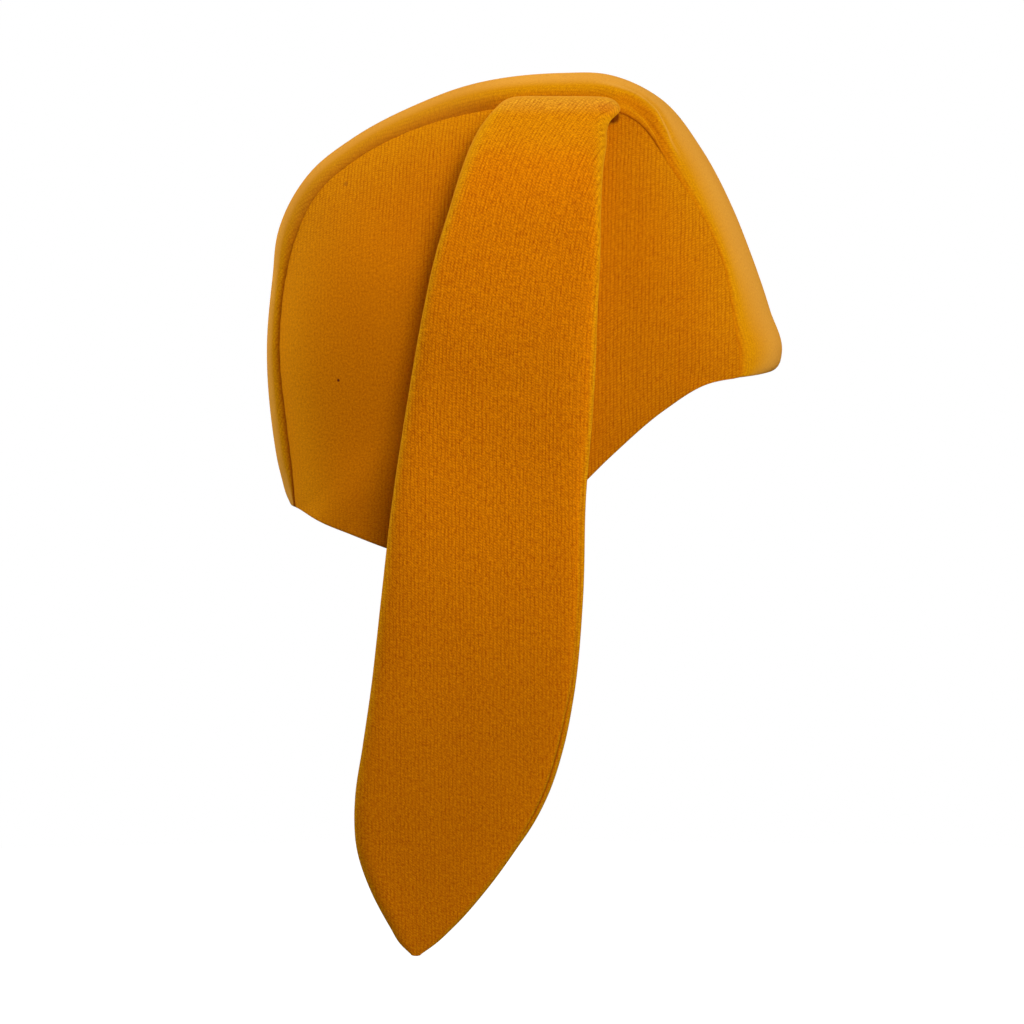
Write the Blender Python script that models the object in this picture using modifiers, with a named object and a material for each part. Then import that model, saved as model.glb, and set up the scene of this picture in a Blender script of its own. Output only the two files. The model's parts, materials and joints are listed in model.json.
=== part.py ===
"""Baby's cap of soft jersey with two long ears that hang down at its sides.

Metres, +Z up. The cap faces -Y and its wearer's left is +X. The origin is on the inside of the
crown, where the cap sits on a head. All tables are in millimetres.
"""
import math
from collections import namedtuple

import bmesh
import bpy
import numpy as np

MM = 0.001

# Driving sizes
WALL = 2.4                # jersey and its facing together
SEAM_GAP = 0.5            # between two panels at a seam
SIDE_BULGE = 69.3         # half width of the cap at the middle of a side panel
SIDE_CENTRE = (16.0, -85.0)   # y and z of the fullest point of a side panel
EAR_ROUNDNESS = 2.4       # power of an ear's section: 2 is an ellipse, more is boxier
FAR_EAR_LEAN = 11.0       # how much further back the left ear hangs
LEAN_TOP = -18.0          # height where that lean begins
LEAN_BOTTOM = -110.0      # and where it is complete

# Faces
BAND_STEPS = 3            # rows of faces between two stations along the band
BAND_ACROSS = 12
HEM_STEPS = 2
SIDE_RINGS = 8
EAR_STEPS = 2
EAR_ROUND = 20            # points round an ear's section

# Colours of the jersey: on the cap, and a shade deeper on the ears
OCHRE = (0.60, 0.205, 0.012, 1.0)
OCHRE_DEEP = (0.52, 0.165, 0.009, 1.0)
JERSEY_ROUGHNESS = 0.92

# Crown band: its outer middle line, and the seams at its two edges
Station = namedtuple("Station", "place y z half_width seam_y seam_z")
BAND = (
    Station("forehead hem", -70.3, -97.0, 36.0, -59.9, -96.7),
    Station("forehead", -73.0, -90.8, 36.0, -59.7, -91.8),
    Station("brow", -69.1, -76.5, 35.6, -58.1, -80.0),
    Station("above the brow", -62.1, -56.4, 34.6, -54.2, -59.4),
    Station("front", -56.7, -43.0, 34.0, -48.7, -46.5),
    Station("upper front", -46.2, -22.9, 33.5, -37.1, -28.8),
    Station("front crown", -32.7, -6.2, 33.0, -26.2, -13.8),
    Station("front of crown", -15.0, 2.1, 33.0, -12.6, -8.6),
    Station("crown", 0.0, 2.4, 33.0, 0.0, -8.3),
    Station("rear crown", 33.3, -1.1, 32.2, 30.2, -11.0),
    Station("upper back", 58.2, -11.2, 31.0, 54.2, -18.8),
    Station("back turn", 84.6, -29.7, 29.4, 78.7, -35.5),
    Station("back", 96.3, -51.0, 28.0, 88.0, -53.4),
    Station("widest back", 100.1, -86.8, 27.0, 93.1, -87.0),
    Station("lower back", 98.3, -117.2, 26.3, 90.7, -116.2),
    Station("nape hem", 91.8, -142.2, 26.0, 88.1, -140.7),
)

# Hem of a side panel between its two seams
HemPoint = namedtuple("HemPoint", "place x y z")
HEM = (
    HemPoint("temple", 46.5, -47.3, -99.0),
    HemPoint("cheek", 52.8, -35.3, -106.4),
    HemPoint("front of flap", 57.8, -19.4, -119.9),
    HemPoint("flap front edge", 60.2, -5.0, -134.2),
    HemPoint("flap front corner", 61.2, 9.0, -147.2),
    HemPoint("flap tip", 61.4, 25.0, -156.2),
    HemPoint("flap back corner", 60.0, 40.0, -155.3),
    HemPoint("back of flap", 57.2, 54.4, -151.0),
    HemPoint("behind the ear", 51.0, 67.0, -147.7),
    HemPoint("neck", 39.5, 79.8, -144.6),
)

# An ear from its seam on the crown to its tip: the middle of each section, its back and front
# edge, its thickness, and how far its edges bend in round the head
Section = namedtuple("Section", "place x z back front thickness bow")
EAR = (
    Section("seam", 34.9, -7.9, 20.6, -19.0, 2.8, 1.8),
    Section("rise", 37.0, -7.5, 22.0, -20.6, 3.6, 1.8),
    Section("roll", 40.3, -8.1, 23.0, -21.0, 4.6, 2.0),
    Section("shoulder", 45.4, -12.0, 24.6, -18.6, 5.6, 2.2),
    Section("upper side", 51.9, -18.6, 26.0, -16.9, 6.4, 2.4),
    Section("side", 59.6, -26.8, 29.0, -16.3, 6.5, 2.4),
    Section("over the panel", 67.6, -41.0, 33.0, -15.8, 6.5, 2.2),
    Section("temple", 71.8, -56.0, 37.1, -15.6, 6.4, 2.0),
    Section("full side", 74.2, -71.5, 40.1, -14.9, 6.2, 2.0),
    Section("below full side", 74.6, -102.5, 45.6, -13.7, 6.2, 2.0),
    Section("hem height", 74.4, -134.4, 50.5, -11.2, 6.2, 2.0),
    Section("below hem", 73.8, -166.5, 54.2, -10.2, 6.2, 2.0),
    Section("lower part", 73.0, -199.0, 58.3, -7.0, 6.2, 2.0),
    Section("widest", 72.6, -215.0, 60.9, -3.8, 6.0, 1.8),
    Section("lower curve", 72.3, -231.5, 63.2, 1.4, 5.8, 1.6),
    Section("back corner", 72.2, -239.5, 63.4, 5.6, 5.6, 1.4),
    Section("front corner", 72.1, -247.8, 62.6, 11.1, 5.4, 1.2),
    Section("taper", 72.0, -261.0, 58.6, 20.4, 4.8, 0.8),
    Section("toward tip", 72.0, -274.0, 52.2, 31.7, 3.8, 0.4),
    Section("round of tip", 72.0, -279.2, 48.8, 37.4, 2.8, 0.2),
    Section("tip", 72.0, -281.8, 45.6, 41.6, 1.6, 0.0),
)


def smooth_rows(rows, steps):
    """Numbers of a table's rows, joined by a smooth curve with steps points in each interval."""
    knots = np.array(rows, dtype=float)
    chords = np.linalg.norm(np.diff(knots[:, :2], axis=0), axis=1)
    distance = np.concatenate(([0.0], np.cumsum(chords)))
    slopes = np.gradient(knots, distance, axis=0)
    samples = []
    for row in range(len(knots) - 1):
        length = distance[row + 1] - distance[row]
        for step in range(steps):
            t = step / steps
            samples.append((2 * t ** 3 - 3 * t ** 2 + 1) * knots[row]
                           + (t ** 3 - 2 * t ** 2 + t) * length * slopes[row]
                           + (3 * t ** 2 - 2 * t ** 3) * knots[row + 1]
                           + (t ** 3 - t ** 2) * length * slopes[row + 1])
    samples.append(knots[-1])
    return np.array(samples)


def band_frames():
    """For each row along the band: its outer middle point, outward direction, radius and arc."""
    rows = smooth_rows([station[1:] for station in BAND], BAND_STEPS)
    frames = []
    for y, z, half_width, seam_y, seam_z in rows:
        out = np.array([y - seam_y, z - seam_z])
        rise = np.linalg.norm(out)
        radius = (half_width ** 2 + rise ** 2) / (2 * rise)
        frames.append((np.array([y, z]), out / rise, radius, math.asin(half_width / radius)))
    return frames


def band_point(frame, angle):
    """Point on the middle of the band's wall, at an angle round its row's arc."""
    middle, out, radius, _ = frame
    wall_radius = radius - WALL / 2
    y, z = middle + out * (wall_radius * math.cos(angle) - radius)
    return (wall_radius * math.sin(angle), y, z)


def band_rows():
    """The band as rows of points from one seam to the other."""
    rows = []
    for frame in band_frames():
        reach = frame[3] - SEAM_GAP / 2 / frame[2]
        rows.append([band_point(frame, reach * (2 * step / BAND_ACROSS - 1))
                     for step in range(BAND_ACROSS + 1)])
    return rows


def side_edge():
    """Closed edge of a side panel: along the seam, over the crown, and back along the hem."""
    seam = [band_point(frame, frame[3]) for frame in band_frames()]
    corners = [seam[0], *[point[1:] for point in HEM], seam[-1]]
    rows = smooth_rows([(y, z, x) for x, y, z in corners], HEM_STEPS)
    hem = [(x, y, z) for y, z, x in rows[1:-1]]
    return np.array(seam + hem[::-1])


def side_rings():
    """A side panel as rings round its fullest point, out to its edge."""
    centre = np.array(SIDE_CENTRE)
    edge = side_edge()
    away = edge[:, 1:] - centre
    length = np.linalg.norm(away, axis=1)
    fall = np.sqrt(1 - (edge[:, 0] / SIDE_BULGE) ** 2)
    trim = 1 - SEAM_GAP / 2 / length
    rings = []
    for ring in range(1, SIDE_RINGS + 1):
        share = trim * ring / SIDE_RINGS
        x = SIDE_BULGE * np.sqrt(1 - (fall * share) ** 2)
        flat = centre + away * share[:, None]
        rings.append([(x[k], flat[k, 0], flat[k, 1]) for k in range(len(edge))])
    return rings


def ear_rings(lean):
    """An ear as closed sections from its seam to its tip, its lower part shifted back by lean."""
    rows = smooth_rows([(s.x, s.z, s.back, s.front, s.thickness, s.bow) for s in EAR], EAR_STEPS)
    path = np.gradient(rows[:, :2], axis=0)
    path /= np.linalg.norm(path, axis=1)[:, None]
    rings = []
    for (x, z, back, front, thickness, bow), (along_x, along_z) in zip(rows, path):
        down = min(max((LEAN_TOP - z) / (LEAN_TOP - LEAN_BOTTOM), 0.0), 1.0)
        middle = (back + front) / 2 + lean * down * down * (3 - 2 * down)
        inward = np.array([x, max(z - SIDE_CENTRE[1], 0.0)])
        inward = -inward / np.linalg.norm(inward)
        ring = []
        for step in range(EAR_ROUND):
            angle = 2 * math.pi * step / EAR_ROUND
            across = round_power(math.cos(angle))
            proud = round_power(math.sin(angle)) * thickness / 2
            bend = inward * bow * across ** 4
            ring.append((x - along_z * proud + bend[0],
                         middle + across * (back - front) / 2,
                         z + along_x * proud + bend[1]))
        rings.append(ring)
    return rings


def round_power(value):
    """Cosine or sine of a section's angle, drawn out towards a rounded box."""
    return math.copysign(abs(value) ** (2 / EAR_ROUNDNESS), value)


def fabric(name, colour):
    """Matt cloth."""
    material = bpy.data.materials.new(name)
    material.use_nodes = True
    shader = material.node_tree.nodes["Principled BSDF"]
    shader.inputs["Base Color"].default_value = colour
    shader.inputs["Roughness"].default_value = JERSEY_ROUGHNESS
    shader.inputs["Metallic"].default_value = 0.0
    material.diffuse_color = colour
    return material


def loft(name, rings, material, closed, ends, mirrored=False):
    """Object whose faces join each ring of points to the next one.

    closed joins a ring's last point to its first. ends says how the first and the last ring are
    filled: in strips across the ring, with a fan to a given point, or not at all.
    """
    side = -1 if mirrored else 1
    mesh = bmesh.new()
    grid = [[mesh.verts.new((side * x * MM, y * MM, z * MM)) for x, y, z in ring] for ring in rings]
    count = len(grid[0])
    for ring, following in zip(grid, grid[1:]):
        for k in range(count if closed else count - 1):
            after = (k + 1) % count
            mesh.faces.new((ring[k], ring[after], following[after], following[k]))
    for ring, end in zip((grid[0], grid[-1]), ends):
        if end == "strips":
            half = count // 2
            mesh.faces.new((ring[0], ring[1], ring[-1]))
            for k in range(1, half - 1):
                mesh.faces.new((ring[k], ring[k + 1], ring[-k - 1], ring[-k]))
            mesh.faces.new((ring[half - 1], ring[half], ring[half + 1]))
        elif end:
            x, y, z = end
            tip = mesh.verts.new((side * x * MM, y * MM, z * MM))
            for k in range(count):
                mesh.faces.new((tip, ring[k], ring[(k + 1) % count]))
    bmesh.ops.recalc_face_normals(mesh, faces=mesh.faces)
    data = bpy.data.meshes.new(name)
    mesh.to_mesh(data)
    mesh.free()
    data.shade_smooth()
    data.materials.append(material)
    return bpy.data.objects.new(name, data)


def thicken(panel):
    """Give a panel the thickness of its cloth, half to each side."""
    wall = panel.modifiers.new("Wall", "SOLIDIFY")
    wall.thickness = WALL * MM
    wall.offset = 0.0
    wall.use_even_offset = True
    return panel


def main():
    for item in list(bpy.data.objects):
        bpy.data.objects.remove(item, do_unlink=True)
    cap = bpy.data.collections.new("Baby cap")
    bpy.context.scene.collection.children.link(cap)

    jersey = fabric("Ochre jersey", OCHRE)
    ear_jersey = fabric("Ochre jersey of the ears", OCHRE_DEEP)
    pieces = [thicken(loft("crown_band", band_rows(), jersey, closed=False, ends=(None, None)))]
    fullest = (SIDE_BULGE, *SIDE_CENTRE)
    for side, mirrored, lean in (("left", False, FAR_EAR_LEAN), ("right", True, 0.0)):
        pieces.append(thicken(loft("side_panel_" + side, side_rings(), jersey, closed=True,
                                   ends=(fullest, None), mirrored=mirrored)))
        pieces.append(loft("ear_" + side, ear_rings(lean), ear_jersey, closed=True,
                           ends=("strips", "strips"), mirrored=mirrored))
    for piece in pieces:
        cap.objects.link(piece)


main()
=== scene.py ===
"""Baby's cap of ochre jersey with two long hanging ears, finished round its CAD frame.

The file is laid out as an add-on and run as a script. Its tables are in millimetres, in the
frame of the CAD model: +Z up, the cap faces -Y, the wearer's left is +X.
"""
import json
import math
from collections import namedtuple

import bpy
import numpy as np
from bpy.props import FloatProperty, FloatVectorProperty, PointerProperty
from mathutils import Matrix, Vector


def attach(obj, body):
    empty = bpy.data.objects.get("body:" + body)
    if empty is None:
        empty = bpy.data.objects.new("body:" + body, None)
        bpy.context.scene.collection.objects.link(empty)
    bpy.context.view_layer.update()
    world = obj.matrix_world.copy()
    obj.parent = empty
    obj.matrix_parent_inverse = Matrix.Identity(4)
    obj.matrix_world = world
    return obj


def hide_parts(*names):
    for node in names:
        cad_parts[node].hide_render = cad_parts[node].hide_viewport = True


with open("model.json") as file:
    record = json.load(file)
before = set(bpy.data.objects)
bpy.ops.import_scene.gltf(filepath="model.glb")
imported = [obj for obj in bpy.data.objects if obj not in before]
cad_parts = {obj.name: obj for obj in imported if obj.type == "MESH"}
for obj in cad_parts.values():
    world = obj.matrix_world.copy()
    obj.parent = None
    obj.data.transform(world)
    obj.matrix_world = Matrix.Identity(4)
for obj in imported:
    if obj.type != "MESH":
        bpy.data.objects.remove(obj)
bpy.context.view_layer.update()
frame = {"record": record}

bl_info = {
    "name": "Baby cap with hanging ears",
    "version": (1, 0, 0),
    "blender": (4, 5, 0),
    "location": "3D View > Sidebar > Baby cap",
    "description": "Makes a jersey baby cap with long ears, and a plain studio round it",
    "category": "Object",
}

MM = 0.001
HEAD_CENTRE = np.array((0.0, 16.0, -85.0))

# Crown band: its outer middle line, and the seams at its two edges
Station = namedtuple("Station", "place y z half_width seam_y seam_z")
BAND = (
    Station("forehead hem", -70.5, -95.6, 36.0, -59.5, -97.2),
    Station("turn of the hem", -72.4, -93.8, 36.0, -59.7, -95.4),
    Station("forehead", -73.1, -90.9, 36.0, -59.8, -92.1),
    Station("brow", -69.2, -76.5, 35.6, -58.1, -80.0),
    Station("above the brow", -62.5, -56.3, 34.6, -54.2, -59.4),
    Station("front", -57.2, -42.8, 34.0, -48.7, -46.5),
    Station("upper front", -46.5, -22.8, 33.5, -37.1, -28.8),
    Station("front crown", -32.7, -6.2, 33.0, -26.2, -13.8),
    Station("front of crown", -15.0, 2.0, 33.0, -12.6, -8.6),
    Station("crown", 0.0, 2.7, 33.0, 0.0, -8.3),
    Station("rear crown", 33.1, -1.5, 32.2, 30.2, -11.0),
    Station("behind the crown", 49.9, -8.1, 31.5, 46.5, -15.6),
    Station("upper back", 69.7, -18.7, 30.4, 65.6, -24.9),
    Station("back turn", 84.3, -30.0, 29.4, 78.7, -35.5),
    Station("back", 95.9, -50.6, 28.0, 88.0, -53.4),
    Station("below the turn", 97.6, -64.5, 27.5, 91.0, -65.5),
    Station("widest back", 99.6, -86.8, 27.0, 93.1, -87.0),
    Station("lower back", 97.7, -117.2, 26.3, 90.7, -116.2),
    Station("above the nape hem", 95.0, -133.0, 26.1, 88.9, -132.0),
    Station("turn of the nape", 93.6, -138.4, 26.0, 88.5, -137.6),
    Station("nape hem", 91.6, -142.2, 26.0, 88.1, -141.6),
)

# How the band and its seams change on the way from the forehead hem. Each row starts with a
# distance along the band. Boxiness: how steeply the band rises from its seams.
BOXINESS = ((0, 0.30), (60, 0.30), (84, 0.50), (102, 0.92), (190, 0.90), (235, 0.75),
            (325, 0.65), (345, 0.2))
# Radius of the panels' edges at the seam, and how dark and how wide the painted shade in the ditch
# between them is
SEAM_ROLL = ((0, 0.30, 0.35, 0.4), (40, 0.22, 0.40, 0.38), (76, 0.25, 0.45, 0.38),
             (90, 0.60, 1.0, 0.7), (114, 0.70, 1.0, 0.9), (126, 0.60, 1.0, 0.6),
             (150, 0.50, 1.0, 0.45), (200, 0.45, 1.0, 0.45), (235, 0.45, 1.0, 0.55),
             (265, 0.50, 1.0, 0.80), (345, 0.60, 1.0, 0.95))
# Soft fold of the band beside its seam, in front of the ear: how far from the seam its ridge is,
# and its height
FOLD = ((76, 3.0, 0.0), (86, 3.6, 0.8), (93, 4.8, 1.3), (100, 6.2, 1.4), (108, 7.5, 1.1),
        (116, 8.0, 0.4), (124, 8.0, 0.0))
# The ridge and the hollows beside it: place as a share of the ridge's, width, share of its height
FOLD_WAVES = ((1.0, 1.7, 1.0), (0.5, 1.6, -0.7), (1.5, 1.8, -0.4))
SQUARENESS = 3.2          # power of the rounded box that the band's section comes near to
UNEVEN_BAND = 0.25        # height of the band's slow swells
WALES_TURN = 195.0        # place on the band behind which its wales drift aside,
WALES_EASE = 18.0         # how gently that begins,
WALES_DRIFT = 0.23        # and half their drift for each millimetre

# Hem of a side panel between its two seams
HemPoint = namedtuple("HemPoint", "place x y z")
HEM = (
    HemPoint("temple", 46.5, -47.5, -99.5),
    HemPoint("cheek", 52.8, -35.5, -106.9),
    HemPoint("front of flap", 57.8, -19.5, -120.7),
    HemPoint("flap front edge", 60.2, -5.2, -134.8),
    HemPoint("flap front corner", 61.2, 9.0, -147.4),
    HemPoint("flap tip", 61.4, 25.0, -156.2),
    HemPoint("flap back corner", 60.0, 40.0, -156.0),
    HemPoint("back of flap", 57.2, 54.4, -152.0),
    HemPoint("behind the ear", 51.0, 67.0, -148.0),
    HemPoint("neck", 39.5, 79.8, -144.1),
)

SOFTENING = 24.0          # points of the edge over which a panel's slope evens out inwards
SWELLS_FROM_EDGE = 5.0    # distance over which the swells below fade toward the edge
PUCKER_REACH = 4.0        # distance over which a seam's ripples fade
WALES_RADIUS = 95.0       # radius of the head down which a panel's wales run

# Soft hollows and swells of a side panel: where, how wide, and how high
Swell = namedtuple("Swell", "y z reach_y reach_z height")
SWELLS = (
    Swell(74.0, -131.0, 10.0, 14.0, 0.35),
    Swell(60.0, -112.0, 12.0, 18.0, -0.30),
    Swell(80.0, -98.0, 10.0, 20.0, 0.25),
    Swell(52.0, -60.0, 16.0, 18.0, 0.6),
    Swell(-30.0, -62.0, 12.0, 20.0, 0.6),
    Swell(-24.0, -96.0, 12.0, 14.0, -0.5),
    Swell(-42.0, -84.0, 8.0, 12.0, 0.4),
)

# An ear from its seam on the crown to its tip: the middle of each section, its back and front
# edge, its thickness, and how far its edges bend in round the head
Section = namedtuple("Section", "place x z back front thickness bow")
EAR = (
    Section("seam", 34.9, -7.9, 19.4, -19.2, 2.8, 1.8),
    Section("rise", 37.0, -7.5, 18.8, -19.7, 3.6, 1.8),
    Section("roll", 40.3, -8.1, 19.6, -20.6, 4.6, 2.0),
    Section("shoulder", 45.4, -12.0, 22.9, -17.3, 5.6, 2.2),
    Section("below the shoulder", 48.6, -15.2, 25.0, -16.6, 6.0, 2.3),
    Section("upper side", 51.9, -18.6, 26.6, -16.7, 6.4, 2.4),
    Section("side", 59.6, -26.8, 29.3, -16.0, 6.5, 2.4),
    Section("over the panel", 67.6, -41.0, 33.0, -15.6, 6.5, 2.2),
    Section("temple", 71.8, -56.0, 37.1, -15.6, 6.4, 2.0),
    Section("full side", 74.2, -71.5, 40.3, -15.0, 6.2, 2.0),
    Section("below full side", 74.6, -102.5, 45.8, -13.8, 6.2, 2.0),
    Section("hem height", 74.4, -134.4, 50.7, -11.3, 6.2, 2.0),
    Section("below hem", 73.8, -166.5, 54.6, -10.4, 6.2, 2.0),
    Section("lower part", 73.0, -199.0, 58.5, -7.3, 6.2, 2.0),
    Section("widest", 72.6, -215.0, 60.9, -4.1, 6.0, 1.8),
    Section("lower curve", 72.3, -231.5, 63.4, 1.4, 5.8, 1.6),
    Section("back corner", 72.2, -239.5, 63.7, 5.5, 5.6, 1.4),
    Section("front corner", 72.1, -247.8, 63.1, 11.0, 5.4, 1.2),
    Section("taper", 72.0, -261.0, 58.9, 20.5, 4.8, 0.8),
    Section("toward tip", 72.0, -274.0, 52.0, 31.8, 3.8, 0.4),
    Section("round of tip", 72.0, -279.4, 48.6, 37.6, 2.8, 0.2),
    Section("tip", 72.0, -282.5, 45.3, 41.9, 1.6, 0.0),
)
# Where the seam on an ear's front edge shows: depth below the crown, how plainly, and how far
# in from the edge, as a share of the seam's inset
EAR_SEAM = ((0, 0.0, 0.65), (118, 0.0, 0.65), (136, 0.35, 0.65), (188, 0.30, 0.65),
            (210, 0.75, 1.0), (234, 0.75, 1.0), (248, 0.0, 1.0), (300, 0.0, 1.0))
SEAM_LINE = 0.32          # half width of its line,
SEAM_DARK = 0.30          # and of the shade in it
SEAM_STEP = 0.3           # how much prouder the ear is behind its seam,
SEAM_EASE = 0.8           # and how far behind
LEAN_TOP = -18.0          # height where the left ear's lean begins
LEAN_BOTTOM = -110.0      # and where it is complete
FULL_ROLL = 14.0          # an ear at least as wide as this has its whole edge rolls
TIP_ROUND = (0.25, 0.45, 0.62, 0.76, 0.86, 0.93, 0.98)      # places of the rows of its round end
TIP_LENGTH = 0.6          # and how far that end passes the last section
# How far an ear's wales lean at its top, over what length and with what power; how far they crowd
# toward the front of its seam, and over what length
WALES_LEAN, LEAN_LENGTH, LEAN_POWER = 22.0, 130.0, 2.6
WALES_CROWD, CROWD_LENGTH = 9.0, 12.0

# Steps of the meshes: rows along the band and the ears and columns across, rings of a panel
BAND_ROWS, BAND_COLUMNS, SECTION_STEPS = 288, 62, 721
PANEL_SEAM, PANEL_HEM, PANEL_RINGS = 250, 150, 62
EAR_ROWS, EAR_COLUMNS = 262, 38

# Distances from a rolled edge at which the wall gets a row of points
ROLL = (0.0, 0.04, 0.14, 0.30, 0.52, 0.80, 1.15, 1.6, 2.2)
# The same for an ear's front edge, close at its seam line, and for its back edge
EAR_FRONT = (0.0, 0.03, 0.12, 0.28, 0.5, 0.8, 1.1, 1.35, 1.5, 1.65, 1.8, 1.95, 2.15, 2.5, 3.0,
             3.7, 4.6)
EAR_BACK = (0.0, 0.05, 0.2, 0.45, 0.85, 1.4, 2.1, 3.0, 4.2)

# Marks, as they show from the side: where, how large, their colour, how strongly. The specks are in
# the cloth; the others are painted shade.
Mark = namedtuple("Mark", "point radius colour strength")
# Painted shade: the band's back top mixed toward a deeper, less pale colour
BAND_BACK_SHADE = Mark((0.0, 62.0, -22.0), 56.0, (0.50, 0.19, 0.012, 1.0), 0.38)
# Painted shadow in the dark pocket under the front corner of each ear's roll
TUCK_SHADOW = Mark((0.0, -18.0, -12.4), 2.8, (0.11, 0.014, 0.0005, 1.0), 0.85)
SPECKS = (Mark((0.0, 70.2, -97.6), 0.62, (0.09, 0.012, 0.006, 1.0), 0.95),
          Mark((0.0, 69.4, -34.1), 0.9, (0.30, 0.075, 0.006, 1.0), 0.5))
# Area on the low back of each side panel where the knit is worn and the cloth is painted lighter:
# its middle, and the distances over which it fades
RUBBED_LIT_PLACE = np.array((56.0, 76.0, -100.0))
RUBBED_LIT_REACH = (28.0, 75.0)

record_colours = {m["slot"]: (*m["base_color"], 1.0) for m in frame["record"]["materials"]}


def shade(name, description, default):
    """Property for a colour of the cloth."""
    return FloatVectorProperty(name=name, description=description, size=4, subtype="COLOR",
                               min=0.0, max=1.0, default=default)


def measure(name, description, default, low, precision=4):
    """Property for a length. Its default and lowest value are given in millimetres."""
    return FloatProperty(name=name, description=description, default=default * MM, min=low * MM,
                         unit="LENGTH", precision=precision)


class JerseySettings(bpy.types.PropertyGroup):
    """The knitted cloth."""
    colour: shade("Cap colour", "Jersey of the cap", record_colours["jersey"])
    ear_colour: shade("Ear colour", "Jersey of the ears", record_colours["ear_jersey"])
    # Painted sheen: the colours the cloth takes where it turns from the eye; the pale one is also
    # the shader's sheen tint
    slant_sheen_colour: shade("Turned", "Jersey seen at a slant", (0.69, 0.276, 0.002, 1.0))
    nap_colour: shade("Pale sheen", "Pale nap seen along the surface", (0.80, 0.360, 0.047, 1.0))
    wale: measure("Wale", "Width of one column of stitches", 1.2, 0.4, 5)
    course: measure("Course", "Height of one row of stitches", 0.84, 0.4, 5)
    relief: measure("Relief", "Depth of the knit", 0.13, 0.0, 5)


class CapSettings(bpy.types.PropertyGroup):
    """The cap's panels."""
    wall: measure("Wall", "Jersey and its facing together", 2.4, 0.5)
    seam_gap: measure("Seam gap", "Clearance between two panels", 0.12, 0.0, 5)
    bulge: measure("Bulge", "Half width of the cap at its fullest point", 69.3, 40)
    hem_roll: measure("Hem roll", "Radius of the turned hem", 1.3, 0.1)
    pucker: measure("Pucker", "Height of the ripples along a seam", 0.10, 0.0, 5)


class EarSettings(bpy.types.PropertyGroup):
    """The two ears."""
    front_roll: measure("Front roll", "Width of the rounding in front", 4.0, 0.5)
    back_roll: measure("Back roll", "Width of the rounding at the back", 5.5, 0.5)
    far_lean: measure("Lean", "How much further back the left ear hangs", 11.0, -20.0)
    seam_inset: measure("Seam inset", "Front seam's distance from the edge", 1.7, 0.0)
    seam_depth: measure("Seam depth", "Depth of the front seam's line", 0.5, 0.0, 5)


class StitchSettings(bpy.types.PropertyGroup):
    """The sewing thread in the seams."""
    spacing: measure("Spacing", "From one stitch to the next", 2.6, 1)
    length: measure("Length", "Length of a stitch", 2.2, 0.5)
    thread: measure("Thread", "Thickness of the thread", 0.28, 0.05, 5)


class StudioSettings(bpy.types.PropertyGroup):
    """Camera, lights and floor."""
    turn: FloatProperty(name="Turn", description="Camera's turn from the cap's side",
                        default=math.radians(4.0), subtype="ANGLE")
    tilt: FloatProperty(name="Tilt", description="Camera's height above level",
                        default=math.radians(5.0), subtype="ANGLE")
    distance: FloatProperty(name="Distance", description="From the camera to the cap",
                            default=1.3, min=0.3, unit="LENGTH")
    lens: FloatProperty(name="Lens", description="Focal length", default=136.4, min=20,
                        subtype="DISTANCE_CAMERA")
    floor_drop: FloatProperty(name="Floor", description="Height of the floor", default=-1.3,
                              unit="LENGTH")
    key: FloatProperty(name="Key light", description="Soft lights before the cap",
                       default=26.5, min=0.0, unit="POWER")
    back: FloatProperty(name="Back light", description="Soft lights behind the cap",
                        default=27.5, min=0.0, unit="POWER")
    fill: FloatProperty(name="Fill light", description="Weak light from below",
                        default=9.8, min=0.0, unit="POWER")


def smooth_curve(rows, places):
    """Numbers of a table's rows at distances along its first two columns, smoothly joined."""
    knots = np.array(rows, dtype=float)
    chords = np.linalg.norm(np.diff(knots[:, :2], axis=0), axis=1)
    distance = np.concatenate(([0.0], np.cumsum(chords)))
    slopes = np.gradient(knots, distance, axis=0)
    places = np.clip(places, 0.0, distance[-1])
    row = np.clip(np.searchsorted(distance, places, side="right") - 1, 0, len(knots) - 2)
    length = (distance[row + 1] - distance[row])[:, None]
    t = (places - distance[row])[:, None] / length
    return ((2 * t ** 3 - 3 * t ** 2 + 1) * knots[row]
            + (t ** 3 - 2 * t ** 2 + t) * length * slopes[row]
            + (3 * t ** 2 - 2 * t ** 3) * knots[row + 1]
            + (t ** 3 - t ** 2) * length * slopes[row + 1])


def table_length(rows):
    """Length of a table's first two columns as a path."""
    knots = np.array(rows, dtype=float)[:, :2]
    return np.linalg.norm(np.diff(knots, axis=0), axis=1).sum()


def eased(pairs, places):
    """Values of a table of places and values, with soft steps between its rows."""
    knots = np.array(pairs, dtype=float)
    row = np.clip(np.searchsorted(knots[:, 0], places, side="right") - 1, 0, len(knots) - 2)
    t = np.clip((places - knots[row, 0]) / (knots[row + 1, 0] - knots[row, 0]), 0.0, 1.0)
    t = t * t * (3 - 2 * t)
    return knots[row, 1:].T * (1 - t) + knots[row + 1, 1:].T * t


def edged(length, middle_steps, first=ROLL, last=ROLL):
    """Distances from 0 to a length, close together at both ends."""
    first, last = np.array(first), np.array(last)
    inner = np.linspace(first[-1], length - last[-1], middle_steps + 1)[1:-1]
    return np.concatenate((first, inner, length - last[::-1]))


def rolled(distance, radius):
    """Share of a wall's thickness at a distance from its rounded edge."""
    return np.sqrt(1 - (1 - np.clip(distance / radius, 0.0, 1.0)) ** 2)


def bump_at(value, width):
    """Smooth swell of height 1 round 0."""
    return np.exp(-(value / width) ** 2)


def ripple(along):
    """Uneven ripples of a sewn seam, between about -1 and 1."""
    return (0.5 * np.sin(along * 0.83 + 0.7) + 0.3 * np.sin(along * 1.37 + 2.0)
            + 0.2 * np.sin(along * 0.41 + 4.1))


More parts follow.
